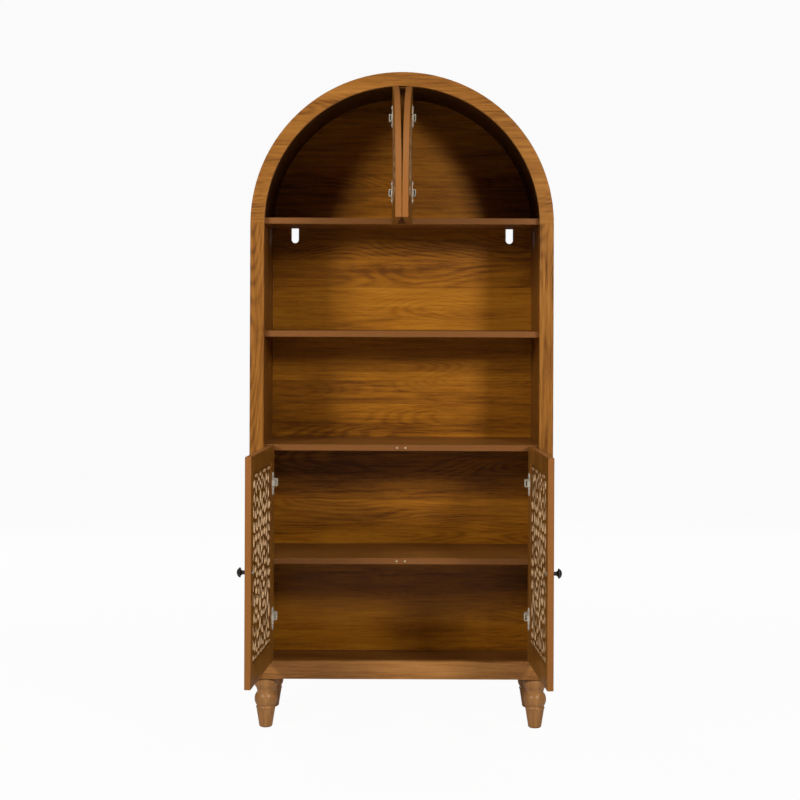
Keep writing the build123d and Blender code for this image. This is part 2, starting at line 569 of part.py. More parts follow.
# ---------------------------------------------------------------- doors
class Leaf:
    """Where one door leaf hangs and how far it stands open.

    The leaf's own plane lies on its outer face: x runs along the door, y is the world's Z and the
    normal points away from the outer face. `along` is +1 where the hinge edge is on the left.
    """

    def __init__(self, name, along, board_x, edge_h, open_deg, hinge_z):
        self.name = name
        self.along = along
        self.board_x = board_x
        self.edge_h = edge_h
        self.open_deg = open_deg
        self.hinge_z = hinge_z
        self.edge_x = board_x + along * edge_h
        self.pivot = (self.edge_x + along * PIVOT_U, FRONT + PIVOT_SET)

    def plane(self):
        """The leaf's plane in its open position."""
        turn = radians(-self.along * self.open_deg)
        dx = self.edge_x - self.pivot[0]
        dy = FACE_TO_PIVOT
        x = self.pivot[0] + dx * cos(turn) - dy * sin(turn)
        y = self.pivot[1] + dx * sin(turn) + dy * cos(turn)
        return Plane(origin=(x, y, 0), x_dir=(cos(turn), sin(turn), 0), z_dir=(sin(turn), -cos(turn), 0))

    def at(self, u, z):
        """A spot on the leaf, u in from its hinge edge."""
        return (self.along * u, z)

    @property
    def is_lower(self):
        """True for the two upright leaves."""
        return self.name.startswith("lower")

    def field(self):
        """Low and high u and z of an upright leaf's lattice."""
        return ((HINGE_MARGIN, DOOR_W - FREE_MARGIN),
                (LOWER_DOOR_BOTTOM + LOWER_MARGIN, LOWER_DOOR_TOP - UPPER_MARGIN))

    def lattice_outline(self, plane, outwards):
        """The lattice's outline on a plane, moved outwards by a distance."""
        with BuildSketch(plane) as shape:
            if self.is_lower:
                (u_low, u_high), (z_low, z_high) = self.field()
                with Locations(self.at((u_low + u_high) / 2, (z_low + z_high) / 2)):
                    Rectangle(u_high - u_low + 2 * outwards, z_high - z_low + 2 * outwards)
            else:
                with Locations(self.at(-DOOR_MEET_GAP / 2, SPRING_Z)):
                    Circle(LEAF_R - ROUND_MARGIN + outwards)
                corner = self.at(HINGE_MARGIN - outwards, SPRING_Z + UPPER_MARGIN - outwards)
                side = Align.MIN if self.along > 0 else Align.MAX
                with Locations(corner):
                    Rectangle(LEAF_R, LEAF_R, align=(side, Align.MIN), mode=Mode.INTERSECT)
        return shape.sketch

    def openings(self):
        """The lattice's openings on the leaf's outer face."""
        with BuildSketch(self.plane()) as shape:
            if self.is_lower:
                (u_low, u_high), (z_low, z_high) = self.field()
                across = (u_high - u_low) / LATTICE_W
                up = (z_high - z_low) / LATTICE_H
                with Locations(self.at(u_low + MIDDLE_LINE * across, z_high)):
                    add(upright_openings(self.along, across, up))
            else:
                with Locations(self.at(-DOOR_MEET_GAP / 2, SPRING_Z)):
                    add(quarter_openings(self.along))
        return shape.sketch

    def section(self, z):
        """A level plane on the pivot line: x runs along the open leaf, y towards its inner face."""
        return Plane(origin=(*self.pivot, z), x_dir=self.along * self.plane().x_dir,
                     z_dir=(0, 0, self.along))


LEAVES = [
    Leaf("upper_left", -1, -BOARD_T / 2, -LAP, UPPER_OPEN, UPPER_HINGE_Z),
    Leaf("upper_right", 1, BOARD_T / 2, -LAP, UPPER_OPEN, UPPER_HINGE_Z),
    Leaf("lower_left", 1, -CLEAR, DOOR_SIDE_GAP, LEFT_LOWER_OPEN, LOWER_HINGE_Z),
    Leaf("lower_right", -1, CLEAR, DOOR_SIDE_GAP, RIGHT_LOWER_OPEN, LOWER_HINGE_Z),
]
CUP_SCREW_SPREAD = 22.5   # cup screws, above and below the cup's centre
CUP_SCREW_R = 1.75
CUP_SCREW_HEAD_R = 3.4
CUP_SCREW_HEAD_H = 1.6
CUP_SCREW_L = 10.0
KNOB_Z = (LOWER_DOOR_BOTTOM + LOWER_DOOR_TOP) / 2


def ease(builder, edges, plane, size):
    """Ease those edges of a door frame that lie in a plane."""
    flat = [e for e in edges
            if all(abs((e @ end - plane.origin).dot(plane.z_dir)) < RIM_EASE / 2 for end in (0, 1))]
    chamfer(flat, size)


for door in LEAVES:
    plane = door.plane()
    inner = plane.offset(-DOOR_T)
    cups = [door.at(CUP_EDGE, z) for z in door.hinge_z]
    cup_screws = [door.at(CUP_EDGE, z + dz) for z in door.hinge_z
                  for dz in (-CUP_SCREW_SPREAD, CUP_SCREW_SPREAD)]

    with BuildPart() as door_frame:
        with BuildSketch(plane) as outline_face:
            if door.is_lower:
                with Locations(door.at(DOOR_W / 2, (LOWER_DOOR_BOTTOM + LOWER_DOOR_TOP) / 2)):
                    Rectangle(DOOR_W, LOWER_DOOR_TOP - LOWER_DOOR_BOTTOM)
            else:
                with BuildLine():
                    off = DOOR_MEET_GAP / 2
                    tip = door.at(LEAF_R - off, SPRING_Z)
                    mid = door.at(LEAF_R * cos(pi / 4) - off, SPRING_Z + LEAF_R * sin(pi / 4))
                    top = door.at(0, SPRING_Z + sqrt(LEAF_R ** 2 - off ** 2))
                    Line(door.at(0, SPRING_Z), tip)
                    ThreePointArc(tip, mid, top)
                    Line(top, door.at(0, SPRING_Z))
                make_face()
        extrude(outline_face.sketch, amount=DOOR_T, dir=-plane.z_dir)
        ease(door_frame, door_frame.edges(), plane, DOOR_EASE)
        ease(door_frame, door_frame.edges(), inner, DOOR_EASE)
        window = door.lattice_outline(plane, -LATTICE_LAP)
        extrude(window, amount=DOOR_T, dir=-plane.z_dir, mode=Mode.SUBTRACT)
        ease(door_frame, door_frame.edges(Select.LAST), plane, LIP_EASE)
        rebate = door.lattice_outline(inner, LATTICE_FIT)
        extrude(rebate, amount=LATTICE_T + LATTICE_SUNK, dir=plane.z_dir, mode=Mode.SUBTRACT)
        ease(door_frame, door_frame.edges(Select.LAST), inner, RIM_EASE)
        bore(inner, cups, CUP_R + CUP_FIT, 0, CUP_DEPTH + CUP_FIT)
        bore(inner, cup_screws, CUP_SCREW_R + SCREW_FIT, 0, CUP_SCREW_L + SCREW_FIT)
        if door.is_lower:
            bore(plane, [door.at(DOOR_W - KNOB_INSET, KNOB_Z)], KNOB_SCREW_R + SCREW_FIT, -DOOR_T, 0)
    save(door_frame, f"{door.name}_door_frame")

    with BuildPart() as lattice:
        extrude(door.lattice_outline(inner.offset(LATTICE_SUNK), 0), amount=LATTICE_T, dir=plane.z_dir)
        extrude(door.openings(), amount=DOOR_T, dir=-plane.z_dir, mode=Mode.SUBTRACT)
    save(lattice, f"{door.name}_door_lattice")

    with BuildPart() as hinge_cups:
        bore(inner, cups, CUP_R, 0, CUP_DEPTH, mode=Mode.ADD)
        with BuildSketch(inner.offset(-FLANGE_T)):
            with Locations(*cups):
                SlotOverall(FLANGE_L, FLANGE_W, rotation=90)
                Circle(CUP_R + CUP_WALL)
        extrude(amount=FLANGE_T)
        bore(inner, cups, CUP_R - CUP_WALL, -FLANGE_T, CUP_DEPTH - CUP_WALL)
        bore(inner, cup_screws, CUP_SCREW_R + SCREW_FIT, -FLANGE_T, 0)
    save(hinge_cups, f"{door.name}_hinge_cups")

    with BuildPart() as cup_screw_set:
        bore(inner, cup_screws, CUP_SCREW_R, -FLANGE_T, CUP_SCREW_L, mode=Mode.ADD)
        bore(inner, cup_screws, CUP_SCREW_HEAD_R, -FLANGE_T - CUP_SCREW_HEAD_H, -FLANGE_T, mode=Mode.ADD)
    save(cup_screw_set, f"{door.name}_cup_screws")

    with BuildPart() as hinge_links:
        # Each link is a curved strap about the pivot line, from the cup's floor into the arm.
        for z in door.hinge_z:
            level = door.section(z)
            far = 4 * LINK_R
            with BuildSketch(level) as strap:
                Circle(LINK_R)
                Circle(LINK_R - LINK_T, mode=Mode.SUBTRACT)
                end = polar(far, door.open_deg + LINK_IN_ARM)
                Polygon((0, 0), (far, 0), (far, far), end, align=None, mode=Mode.INTERSECT)
                with Locations((0, INNER_TO_PIVOT - CUP_DEPTH + CUP_WALL)):
                    Rectangle(far, far, align=(Align.CENTER, Align.MIN), mode=Mode.INTERSECT)
            extrude(strap.sketch, amount=LINK_W / 2, dir=(0, 0, 1))
            extrude(strap.sketch, amount=LINK_W / 2, dir=(0, 0, -1))
    save(hinge_links, f"{door.name}_hinge_links")

# ---------------------------------------------------------------- knobs on the lower doors
for door in LEAVES[2:]:
    plane = door.plane()
    base = plane.from_local_coords((*door.at(DOOR_W - KNOB_INSET, KNOB_Z), 0))
    with BuildPart() as knob:
        side_view = Plane(origin=base, x_dir=(0, 0, 1), z_dir=Vector(0, 0, 1).cross(plane.z_dir))
        with BuildSketch(side_view) as half_knob:
            with BuildLine():
                Line((0, 0), (KNOB_STEM_R + 1.5, 0))
                Line((KNOB_STEM_R + 1.5, 0), (KNOB_STEM_R, 3))
                Line((KNOB_STEM_R, 3), (KNOB_STEM_R, 6))
                TangentArc((KNOB_STEM_R, 6), (KNOB_R, 13), tangent=(0, 1))
                TangentArc((0, KNOB_OUT), (KNOB_R, 16), tangent=(1, 0))
                Line((KNOB_R, 13), (KNOB_R, 16))
                Line((0, KNOB_OUT), (0, 0))
            make_face()
        revolve(half_knob.sketch, axis=Axis(base, plane.z_dir))
        bore(plane, [door.at(DOOR_W - KNOB_INSET, KNOB_Z)], KNOB_SCREW_R + SCREW_FIT, 0, KNOB_OUT / 2)
    save(knob, f"{door.name}_knob")

    with BuildPart() as knob_screw:
        spots = [door.at(DOOR_W - KNOB_INSET, KNOB_Z)]
        bore(plane, spots, KNOB_SCREW_R, -DOOR_T, KNOB_OUT / 2 - SCREW_FIT, mode=Mode.ADD)
        bore(plane, spots, 2 * KNOB_SCREW_R, -DOOR_T - KNOB_SCREW_R, -DOOR_T, mode=Mode.ADD)
    save(knob_screw, f"{door.name}_knob_screw")


# ---------------------------------------------------------------- hinge arms, plates and links
def outline(points, low, high, mode=Mode.ADD):
    """Extrude an outline in X and Y between two levels."""
    with BuildSketch(Plane.XY.offset(low)) as shape:
        Polygon(*points, align=None)
    extrude(shape.sketch, amount=high - low, dir=(0, 0, 1), mode=mode)


def on_board(door, h, y):
    """A point h above the board that carries a hinge, y behind the frame face."""
    return (door.board_x + door.along * h, FRONT + y)


def arm_outline(door, wall):
    """The arm from the side; `wall` takes the metal's thickness off its back."""
    top = door.edge_h + NOSE_U + NOSE_H - wall
    rear = ARM_REAR_H - wall
    return [
        on_board(door, top - NOSE_H - wall, NOSE_FRONT - wall), on_board(door, top, NOSE_FRONT - wall),
        on_board(door, top, ARM_STEP), on_board(door, rear, ARM_STEP + ARM_DROP),
        on_board(door, rear, ARM_END - wall), on_board(door, ARM_FOOT_H - 2 * wall, ARM_END - wall),
        on_board(door, ARM_FOOT_H - 2 * wall, ARM_STEP + ARM_DROP / 2),
        on_board(door, (top + ARM_FOOT_H) / 2 - wall, ARM_FRONT + wall),
        on_board(door, top - NOSE_H - wall, ARM_FRONT - wall),
    ]


CLAMP = [(ARM_SCREW_Y - PLATE_FRONT - WING_W / 2, 0)]
WINGS = [(0, -WING_HOLE_X), (0, WING_HOLE_X)]
for pair, doors in (("upper", LEAVES[:2]), ("lower", LEAVES[2:])):
    with BuildPart() as arms:
        for door in doors:
            for z in door.hinge_z:
                half = ARM_W / 2 - ARM_WALL
                outline(arm_outline(door, 0), z - ARM_W / 2, z + ARM_W / 2)
                outline(arm_outline(door, ARM_WALL), z - half, z + half, Mode.SUBTRACT)
                face = hinge_face(door.board_x, door.along, z)
                bore(face, CLAMP, ARM_SCREW_R + SCREW_FIT, ARM_FOOT_H, ARM_REAR_H)
    save(arms, f"{pair}_hinge_arms")

with BuildPart() as hinge_plates:
    for door in LEAVES:
        for z in door.hinge_z:
            wing = sorted((door.board_x, door.board_x + door.along * PLATE_T))
            slab(wing, (FRONT + PLATE_FRONT, FRONT + PLATE_FRONT + WING_W), (z - WING_L / 2, z + WING_L / 2))
            ridge = sorted((door.board_x, door.board_x + door.along * (ARM_FOOT_H + ARM_WALL)))
            ridge_z = (z - PLATE_RAIL_W / 2, z + PLATE_RAIL_W / 2)
            slab(ridge, (FRONT + PLATE_FRONT, FRONT + PLATE_END), ridge_z)
            face = hinge_face(door.board_x, door.along, z)
            bore(face, WINGS, WING_SCREW_R + SCREW_FIT, 0, PLATE_T)
            bore(face, CLAMP, ARM_SCREW_R + SCREW_FIT, PLATE_T, ARM_FOOT_H + ARM_WALL)
save(hinge_plates, "hinge_plates")

with BuildPart() as hinge_screws:
    for door in LEAVES:
        for z in door.hinge_z:
            face = hinge_face(door.board_x, door.along, z)
            bore(face, WINGS, WING_SCREW_R, -WING_SCREW_L, PLATE_T, mode=Mode.ADD)
            bore(face, WINGS, WING_SCREW_HEAD_R, PLATE_T, PLATE_T + WING_SCREW_HEAD_H, mode=Mode.ADD)
            bore(face, CLAMP, ARM_SCREW_R, PLATE_T, ARM_REAR_H, mode=Mode.ADD)
            bore(face, CLAMP, ARM_SCREW_HEAD_R, ARM_REAR_H, ARM_REAR_H + WING_SCREW_HEAD_H, mode=Mode.ADD)
save(hinge_screws, "hinge_screws")
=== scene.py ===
"""An arched cabinet with pierced doors, dressed in walnut laminate and lit in a plain studio."""

import logging
import math
from dataclasses import dataclass, field
from enum import Enum

import bmesh
import bpy
from mathutils import Euler, Matrix, Vector

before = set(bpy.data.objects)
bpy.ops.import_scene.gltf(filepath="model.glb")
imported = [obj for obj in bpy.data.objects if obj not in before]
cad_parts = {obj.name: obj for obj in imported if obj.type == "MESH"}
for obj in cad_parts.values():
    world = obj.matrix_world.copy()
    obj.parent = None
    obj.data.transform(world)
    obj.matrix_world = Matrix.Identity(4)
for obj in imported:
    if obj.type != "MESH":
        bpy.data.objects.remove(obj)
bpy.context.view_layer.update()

log = logging.getLogger("cabinet")

RGB = tuple[float, float, float]
Triple = tuple[float, float, float]

WHITE: RGB = (1.0, 1.0, 1.0)
EVEN: Triple = (1.0, 1.0, 1.0)  # the same along all three axes


# ------------------------------------------------------------------ the cabinet's own places
def metres(millimetres: float) -> float:
    """Turn millimetres into metres."""
    return millimetres / 1000.0


FRONT_Y = metres(20.12)      # front of the frame
SPRING_Z = metres(1334.0)    # where the arch springs from the stiles
BEND_RADIUS = metres(381.0)  # middle of the arched ring


# ------------------------------------------------------------------ shader expressions
class Wire:
    """A node's output socket that can be used in a Python expression."""

    def __init__(self, graph: "Graph", socket: bpy.types.NodeSocket | None) -> None:
        """Keep the graph and the socket."""
        self.graph = graph
        self.socket = socket

    def __add__(self, other: "Wire | float") -> "Wire":
        """Sum."""
        return self.graph.math("ADD", self, other)

    __radd__ = __add__

    def __sub__(self, other: "Wire | float") -> "Wire":
        """Difference."""
        return self.graph.math("SUBTRACT", self, other)

    def __rsub__(self, other: float) -> "Wire":
        """Difference from a number."""
        return self.graph.math("SUBTRACT", other, self)

    def __mul__(self, other: "Wire | float") -> "Wire":
        """Product."""
        return self.graph.math("MULTIPLY", self, other)

    __rmul__ = __mul__

    def __pow__(self, other: float) -> "Wire":
        """Power."""
        return self.graph.math("POWER", self, other)

    def __gt__(self, other: "Wire | float") -> "Wire":
        """One where this is greater."""
        return self.graph.math("GREATER_THAN", self, other)

    def __abs__(self) -> "Wire":
        """Size without sign."""
        return self.graph.math("ABSOLUTE", self)

    def sine(self) -> "Wire":
        """Sine, in radians."""
        return self.graph.math("SINE", self)

    def root(self) -> "Wire":
        """Square root."""
        return self.graph.math("SQRT", self)

    def clamped(self) -> "Wire":
        """The value held between nought and one."""
        return self.graph.math("MAXIMUM", self.graph.math("MINIMUM", self, 1.0), 0.0)


Axes = tuple[Wire, Wire, Wire]


def opaque(colour: RGB) -> tuple[float, float, float, float]:
    """A colour with full alpha."""
    return (*colour, 1.0)


def shade(colour: RGB, by: float) -> RGB:
    """A colour made darker or lighter by a factor."""
    return tuple(by * part for part in colour)


class Graph:
    """A material's node tree, built one node at a time."""

    def __init__(self, material: bpy.types.Material) -> None:
        """Start an empty tree.

        Args:
            material: the material that it belongs to.
        """
        material.use_nodes = True
        self.tree = material.node_tree
        self.tree.nodes.clear()

    def node(self, kind: str, settings: dict | None = None, sockets: dict | None = None,
             out: int | str = 0) -> Wire:
        """Add a node.

        Args:
            kind: the node's type, without its ShaderNode prefix.
            settings: properties of the node, or a ramp's stops, set before its sockets.
            sockets: values or wires for its inputs, by name or number.
            out: which output to return.

        Returns:
            The chosen output, or a wire without a socket where the node has none.
        """
        made = self.tree.nodes.new("ShaderNode" + kind)
        for name, value in (settings or {}).items():
            if name == "stops":
                self.set_stops(made.color_ramp, value)
            else:
                setattr(made, name, value)
        for name, value in (sockets or {}).items():
            target = made.inputs[name]
            if isinstance(value, Wire):
                self.tree.links.new(value.socket, target)
            else:
                target.default_value = value
        return Wire(self, made.outputs[out] if made.outputs else None)

    @staticmethod
    def set_stops(band: bpy.types.ColorRamp, stops: tuple[tuple[float, RGB], ...]) -> None:
        """Give a colour ramp its stops.

        Args:
            band: the ramp.
            stops: the place and the colour of each stop, lowest first.
        """
        while len(band.elements) < len(stops):
            band.elements.new(0.5)
        for element, (at, colour) in zip(band.elements, stops):
            element.position = at
            element.color = opaque(colour)

    def math(self, operation: str, *values: Wire | float) -> Wire:
        """One Math node on wires or numbers."""
        return self.node("Math", {"operation": operation}, dict(enumerate(values)))

    def combine(self, x: Wire | float, y: Wire | float, z: Wire | float) -> Wire:
        """A vector from three values."""
        return self.node("CombineXYZ", None, {0: x, 1: y, 2: z})

    def place(self) -> Axes:
        """Read the object's own coordinates.

        Returns:
            Its x, y and z.
        """
        spot = self.node("TexCoord", None, None, "Object")
        parts = self.node("SeparateXYZ", None, {0: spot}).socket.node.outputs
        return tuple(Wire(self, part) for part in parts)

    def step(self, value: Wire, low: float, high: float) -> Wire:
        """A smooth step from nought at low to one at high."""
        return self.node("MapRange", {"interpolation_type": "SMOOTHSTEP"},
                         {"Value": value, "From Min": low, "From Max": high})

    def ramp(self, value: Wire, *stops: tuple[float, RGB]) -> Wire:
        """A colour ramp with the given stops."""
        return self.node("ValToRGB", {"stops": stops}, {0: value})

    def blend(self, factor: Wire | float, first: Wire | RGB, second: Wire | RGB) -> Wire:
        """Mix two colours.

        Args:
            factor: the second colour's share.
            first: a plain colour or a wire.
            second: a plain colour or a wire.

        Returns:
            The mixed colour.
        """
        first, second = (colour if isinstance(colour, Wire) else opaque(colour)
                         for colour in (first, second))
        return self.node("Mix", {"data_type": "RGBA"}, {0: factor, 6: first, 7: second}, 2)

    def surface(self, base: Wire, rough: Wire, height: Wire, feel: "Feel") -> None:
        """Finish the tree with a principled surface.

        Args:
            base: the base colour.
            rough: the roughness.
            height: a value that raises the surface.
            feel: depth of the relief, and gloss.
        """
        bump = self.node("Bump", None, {"Strength": 1.0, "Distance": feel.depth, "Height": height})
        shader = self.node("BsdfPrincipled", None, {
            "Base Color": base, "Roughness": rough, "Metallic": feel.metallic,
            "Coat Weight": feel.coat, "Coat Roughness": feel.coat_rough,
            "Specular IOR Level": feel.shine, "Normal": bump})
        self.node("OutputMaterial", None, {0: shader})


@dataclass(frozen=True)
class Feel:
    """How smooth, deep and glossy a finish is.

    Attributes:
        smooth: roughness where its noises are nought.
        uneven: roughness that each of its noises adds.
        depth: height of one unit of relief, in metres.
        metallic: how metallic it is.
        coat: weight of the clear coat.
        coat_rough: roughness of the clear coat.
        shine: level of the mirror-like part.
    """

    smooth: float
    uneven: tuple[float, ...]
    depth: float
    metallic: float = 0.0
    coat: float = 0.0
    coat_rough: float = 0.12
    shine: float = 0.5

    def rough(self, *noises: Wire) -> Wire:
        """Work out the roughness.

        Args:
            noises: the finish's noises, in the order of uneven.

        Returns:
            The roughness all over the surface.
        """
        rough = self.smooth
        for noise, share in zip(noises, self.uneven):
            rough = rough + noise * share
        return rough


@dataclass(frozen=True)
class Mottle:
    """A noise that is stretched along three axes.

    Attributes:
        stretch: cells per metre along each axis.
        scale: multiplies all three.
        detail: how many finer layers it has.
        rough: weight of the finer layers.
        warp: how far it is bent by itself.
        shift: how far a seed moves it along each axis.
    """

    stretch: Triple
    scale: float = 1.0
    detail: float = 2.0
    rough: float = 0.5
    warp: float = 0.0
    shift: Triple = (0.0, 0.0, 0.0)

    def on(self, graph: Graph, axes: tuple[Wire | float, ...], seed: Wire | float = 0.0) -> Wire:
        """Lay the noise on a piece.

        Args:
            graph: the nodes to add it to.
            axes: distances along its three axes.
            seed: what moves it.

        Returns:
            The noise, between nought and one.
        """
        ways = [axis * stretch + seed * share if share else axis * stretch
                for axis, stretch, share in zip(axes, self.stretch, self.shift)]
        return graph.node("TexNoise", {"noise_dimensions": "3D"}, {
            "Vector": graph.combine(*ways), "Scale": self.scale, "Detail": self.detail,
            "Roughness": self.rough, "Distortion": self.warp})


# ------------------------------------------------------------------ finishes
@dataclass(frozen=True)
class Finish:
    """A finish that pieces can be dressed in.

    Attributes:
        name: the material's name.
    """

    name: str

    def build(self) -> bpy.types.Material:
        """Make the material.

        Returns:
            The material, with its nodes.
        """
        material = bpy.data.materials.new(self.name)
        self.paint(Graph(material))
        return material

    def paint(self, graph: Graph) -> None:
        """Add the nodes; each finish has its own."""
        raise NotImplementedError


class Grain(Enum):
    """Which way the grain of a board runs."""

    ACROSS = "along x"
    UPRIGHT = "along z, seen from the front"
    SIDE = "along z, seen from the side"
    SHELF = "along x, seen from above"
    ROUND = "round the arch"

    def axes(self, graph: Graph) -> Axes:
        """Measure a board along its grain.

        Args:
            graph: the nodes to add to.

        Returns:
            Distances along the grain, across it and into the board.
        """
        x, y, z = graph.place()
        if self is Grain.ROUND:
            rise = z - SPRING_Z
            turn = graph.math("ARCTAN2", rise, x)
            return turn * BEND_RADIUS, y, (x * x + rise * rise).root()
        return {Grain.ACROSS: (x, z, y), Grain.UPRIGHT: (z, x, y),
                Grain.SIDE: (z, y, x), Grain.SHELF: (x, y, z)}[self]


@dataclass(frozen=True)
class Tones:
    """Three tones of a wood.

    Attributes:
        dark: the late wood.
        mid: the wood between.
        light: the early wood.
    """

    dark: RGB
    mid: RGB
    light: RGB


BODY_TONES = Tones((0.155, 0.051, 0.008), (0.345, 0.133, 0.021), (0.480, 0.204, 0.038))
RAIL_TONES = Tones((0.175, 0.064, 0.017), (0.380, 0.159, 0.039), (0.525, 0.240, 0.066))
# Painted shade: the lining's tones are darkened to near black to stand in for the shadow inside
# the arch.
LINING_SHADE_TONES = Tones((0.018, 0.006, 0.0015), (0.042, 0.015, 0.003), (0.072, 0.028, 0.006))
# Painted shade: the inner side boards' tones are darker than the body's to stand in for the shade
# along the side walls.
INSIDE_SHADE_TONES = Tones((0.090, 0.029, 0.004), (0.215, 0.080, 0.010), (0.310, 0.124, 0.019))
SHELF_TONES = Tones((0.135, 0.046, 0.010), (0.275, 0.110, 0.024), (0.370, 0.160, 0.038))
REAR_TONES = Tones((0.160, 0.050, 0.004), (0.420, 0.150, 0.008), (0.660, 0.272, 0.018))
DOOR_TONES = Tones((0.110, 0.038, 0.006), (0.250, 0.099, 0.015), (0.360, 0.155, 0.028))
LATTICE_TONES = Tones((0.095, 0.033, 0.005), (0.210, 0.084, 0.012), (0.310, 0.133, 0.023))

# Painted highlight: the arch ring's edge bands are real, and their tone is made lighter than its
# faces to paint the pale line of light along its rim.
ARCH_EDGE_HIGHLIGHT: RGB = (0.440, 0.210, 0.065)
SHELF_EDGE: RGB = (0.250, 0.096, 0.025)
DOOR_EDGE: RGB = (0.340, 0.132, 0.035)
RAW_CUT: RGB = (0.56, 0.37, 0.205)

FACES_FRONT: Triple = (0.0, 1.0, 0.0)
FACES_UP: Triple = (0.0, 0.0, 1.0)

PRINTED = Feel(0.29, (0.10, 0.12), 0.00008, shine=0.20)
PRINTED_DULL = Feel(0.29, (0.10, 0.12), 0.00008, shine=0.06)


@dataclass(frozen=True)
class Edging:
    """Edges and cut walls of a board, where they look different from its printed faces.

    Attributes:
        face: normal of the board's two faces.
        tone: tone of the edges.
        speck: how coarse and rough they are, from a plain edge band to a raw cut.
        grit: noise of the specks.
        turn: cosines to the face's normal, from edge to face.
        spread: how far a plain band's tone strays, and how much further a raw cut's does.
        rough: roughness that a raw cut adds.
        lift: height that a raw cut's specks add.
    """

    face: Triple
    tone: RGB
    speck: float
    grit: Mottle = Mottle(EVEN, 420.0, 3.0, 0.65)
    turn: tuple[float, float] = (0.45, 0.6)
    spread: tuple[float, float] = (0.12, 0.18)
    rough: float = 0.30
    lift: float = 1.5

    def mask(self, graph: Graph) -> Wire:
        """Find the edges.

        Args:
            graph: the nodes to add to.

        Returns:
            One on the edges and cut walls, nought on the two faces.
        """
        normal = graph.node("NewGeometry", None, None, "True Normal")
        local = graph.node("VectorTransform", {
            "vector_type": "NORMAL", "convert_from": "WORLD", "convert_to": "OBJECT"}, {0: normal})
        facing = graph.node("VectorMath", {"operation": "DOT_PRODUCT"},
                            {0: local, 1: self.face}, "Value")
        return 1.0 - graph.step(abs(facing), *self.turn)

    def over(self, graph: Graph, axes: Axes, tone: Wire, rough: Wire,
             height: Wire) -> tuple[Wire, Wire, Wire]:
        """Lay the edges over the printed faces.

        Args:
            graph: the nodes to add to.
            axes: distances along the board's grain, across it and into it.
            tone: colour of the faces.
            rough: their roughness.
            height: their height.

        Returns:
            Colour, roughness and height of the whole board.
        """
        edge = self.mask(graph)
        grit = self.grit.on(graph, axes)
        spread = self.spread[0] + self.spread[1] * self.speck
        band = graph.blend(grit, shade(self.tone, 1.0 - spread), shade(self.tone, 1.0 + spread))
        return (graph.blend(edge, tone, band),
                rough + edge * (self.rough * self.speck),
                height + edge * grit * (self.lift * self.speck))


@dataclass(frozen=True)
class Figure:
    """The walnut grain that is printed on the laminate, the same on every board.

    Attributes:
        bends: noise that bends the growth lines.
        bend_turn: turn of the lines at a full bend, in radians.
        line_turn: turn of the lines in a metre across the grain, in radians.
        line_power: how narrow the lines are.
        patches: noise of the places with growth lines.
        patch_range: where it goes from bare to lined.
        streaks: noise of the fine streaks.
        fibres: noise of the fibres.
        fibre_strength: how much the fibres show.
        clouds: noise of the broad light and dark places.
        planks: noise that gives each plank or board its own tone.
        plank_strength: how far the tones of printed planks differ.
        board_strength: how far those of whole boards differ.
        plank_seed: how far the grain moves from one plank to the next, and what that grows by.
        joint: half the width of the dark joint between planks, from full to none.
        joint_strength: how dark the joint is.
        stops: places of the three tones in the mixed value.
        pore_fibre: fibre values at which pores begin and are full.
        pore_streak: streak values at which pores begin and are full.
        pore_strength: how dark the pores are.
        relief: share of fibres and of streaks in the relief, and depth of the pores in it.
    """

    bends: Mottle = Mottle((1.1, 6.5, 2.0), 1.5, 0.8, 0.40, 0.15, (1.0, 2.3, 0.0))
    bend_turn: float = 190.0
    line_turn: float = 90.0
    line_power: float = 1.7
    patches: Mottle = Mottle((1.6, 9.0, 1.0), detail=1.0, shift=(1.0, 0.0, 1.0))
    patch_range: tuple[float, float] = (0.38, 0.66)
    streaks: Mottle = Mottle((8.0, 150.0, 20.0), detail=3.0, rough=0.62, shift=(1.0, 0.0, 0.0))
    fibres: Mottle = Mottle((60.0, 620.0, 300.0), rough=0.6, shift=(0.0, 1.0, 0.0))
    fibre_strength: float = 0.30
    clouds: Mottle = Mottle((1.6, 13.0, 1.0), 1.5, shift=(1.9, 0.0, 0.0))
    planks: Mottle = Mottle((0.0, 0.0, 0.5), detail=0.0, shift=(3.17, 1.31, 0.0))
    plank_strength: float = 0.60
    board_strength: float = 0.15
    plank_seed: tuple[float, float] = (1.7, 0.61)
    joint: tuple[float, float] = (0.0004, 0.0016)
    joint_strength: float = 0.45
    stops: Triple = (0.20, 0.48, 0.80)
    pore_fibre: tuple[float, float] = (0.60, 0.74)
    pore_streak: tuple[float, float] = (0.42, 0.60)
    pore_strength: float = 0.35
    relief: Triple = (0.5, 0.5, 0.8)


FIGURE = Figure()


